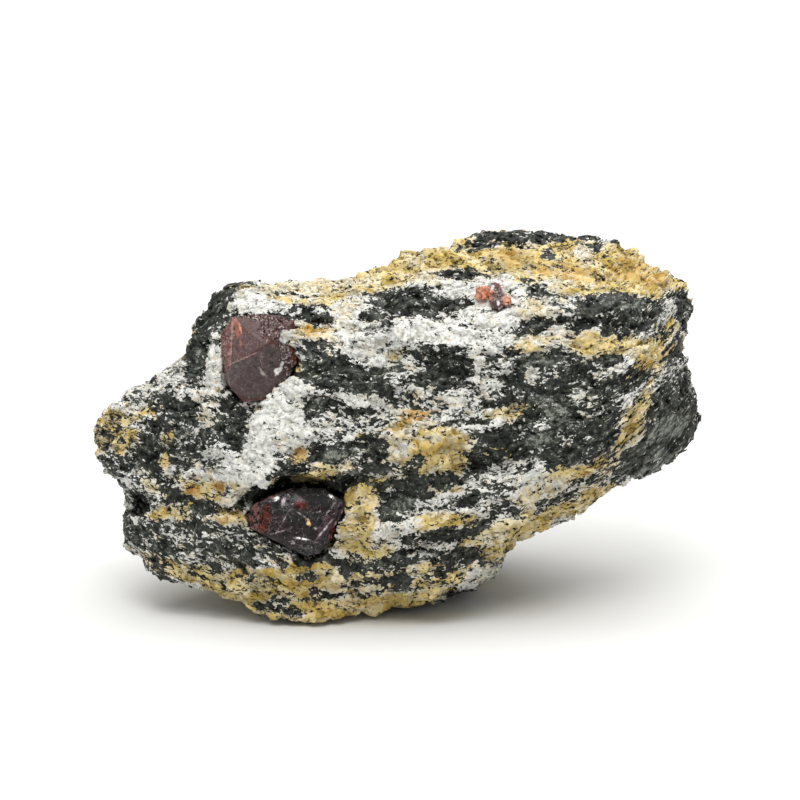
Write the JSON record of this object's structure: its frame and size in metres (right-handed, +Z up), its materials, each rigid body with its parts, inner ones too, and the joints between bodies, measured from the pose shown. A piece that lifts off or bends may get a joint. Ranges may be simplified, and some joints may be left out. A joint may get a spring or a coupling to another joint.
{
  "type": "zircon on matrix",
  "caption": "Broken block of banded biotite and feldspar gneiss with reddish-brown zircon crystals set in its front; it rests on a flat foot.",
  "frame": {"origin": "middle of the bounding box's underside, in the plane that the stone rests on", "axes": "+X along the stone to its right end as seen from the side with the zircons, -Y out of that side, +Z up"},
  "size_m": [0.0834, 0.0454, 0.0485],
  "materials": {
    "gneiss": "rough broken rock",
    "brown_zircon": "glassy where unbroken, dull and pitted where broken",
    "dark_zircon": "glassy, with cracks inside",
    "red_zircon": "glassy"
  },
  "bodies": {
    "root": {"matrix": "gneiss", "zircon_large": "brown_zircon", "zircon_dark": "dark_zircon", "zircon_small_cluster": "red_zircon"}
  },
  "joints": []
}
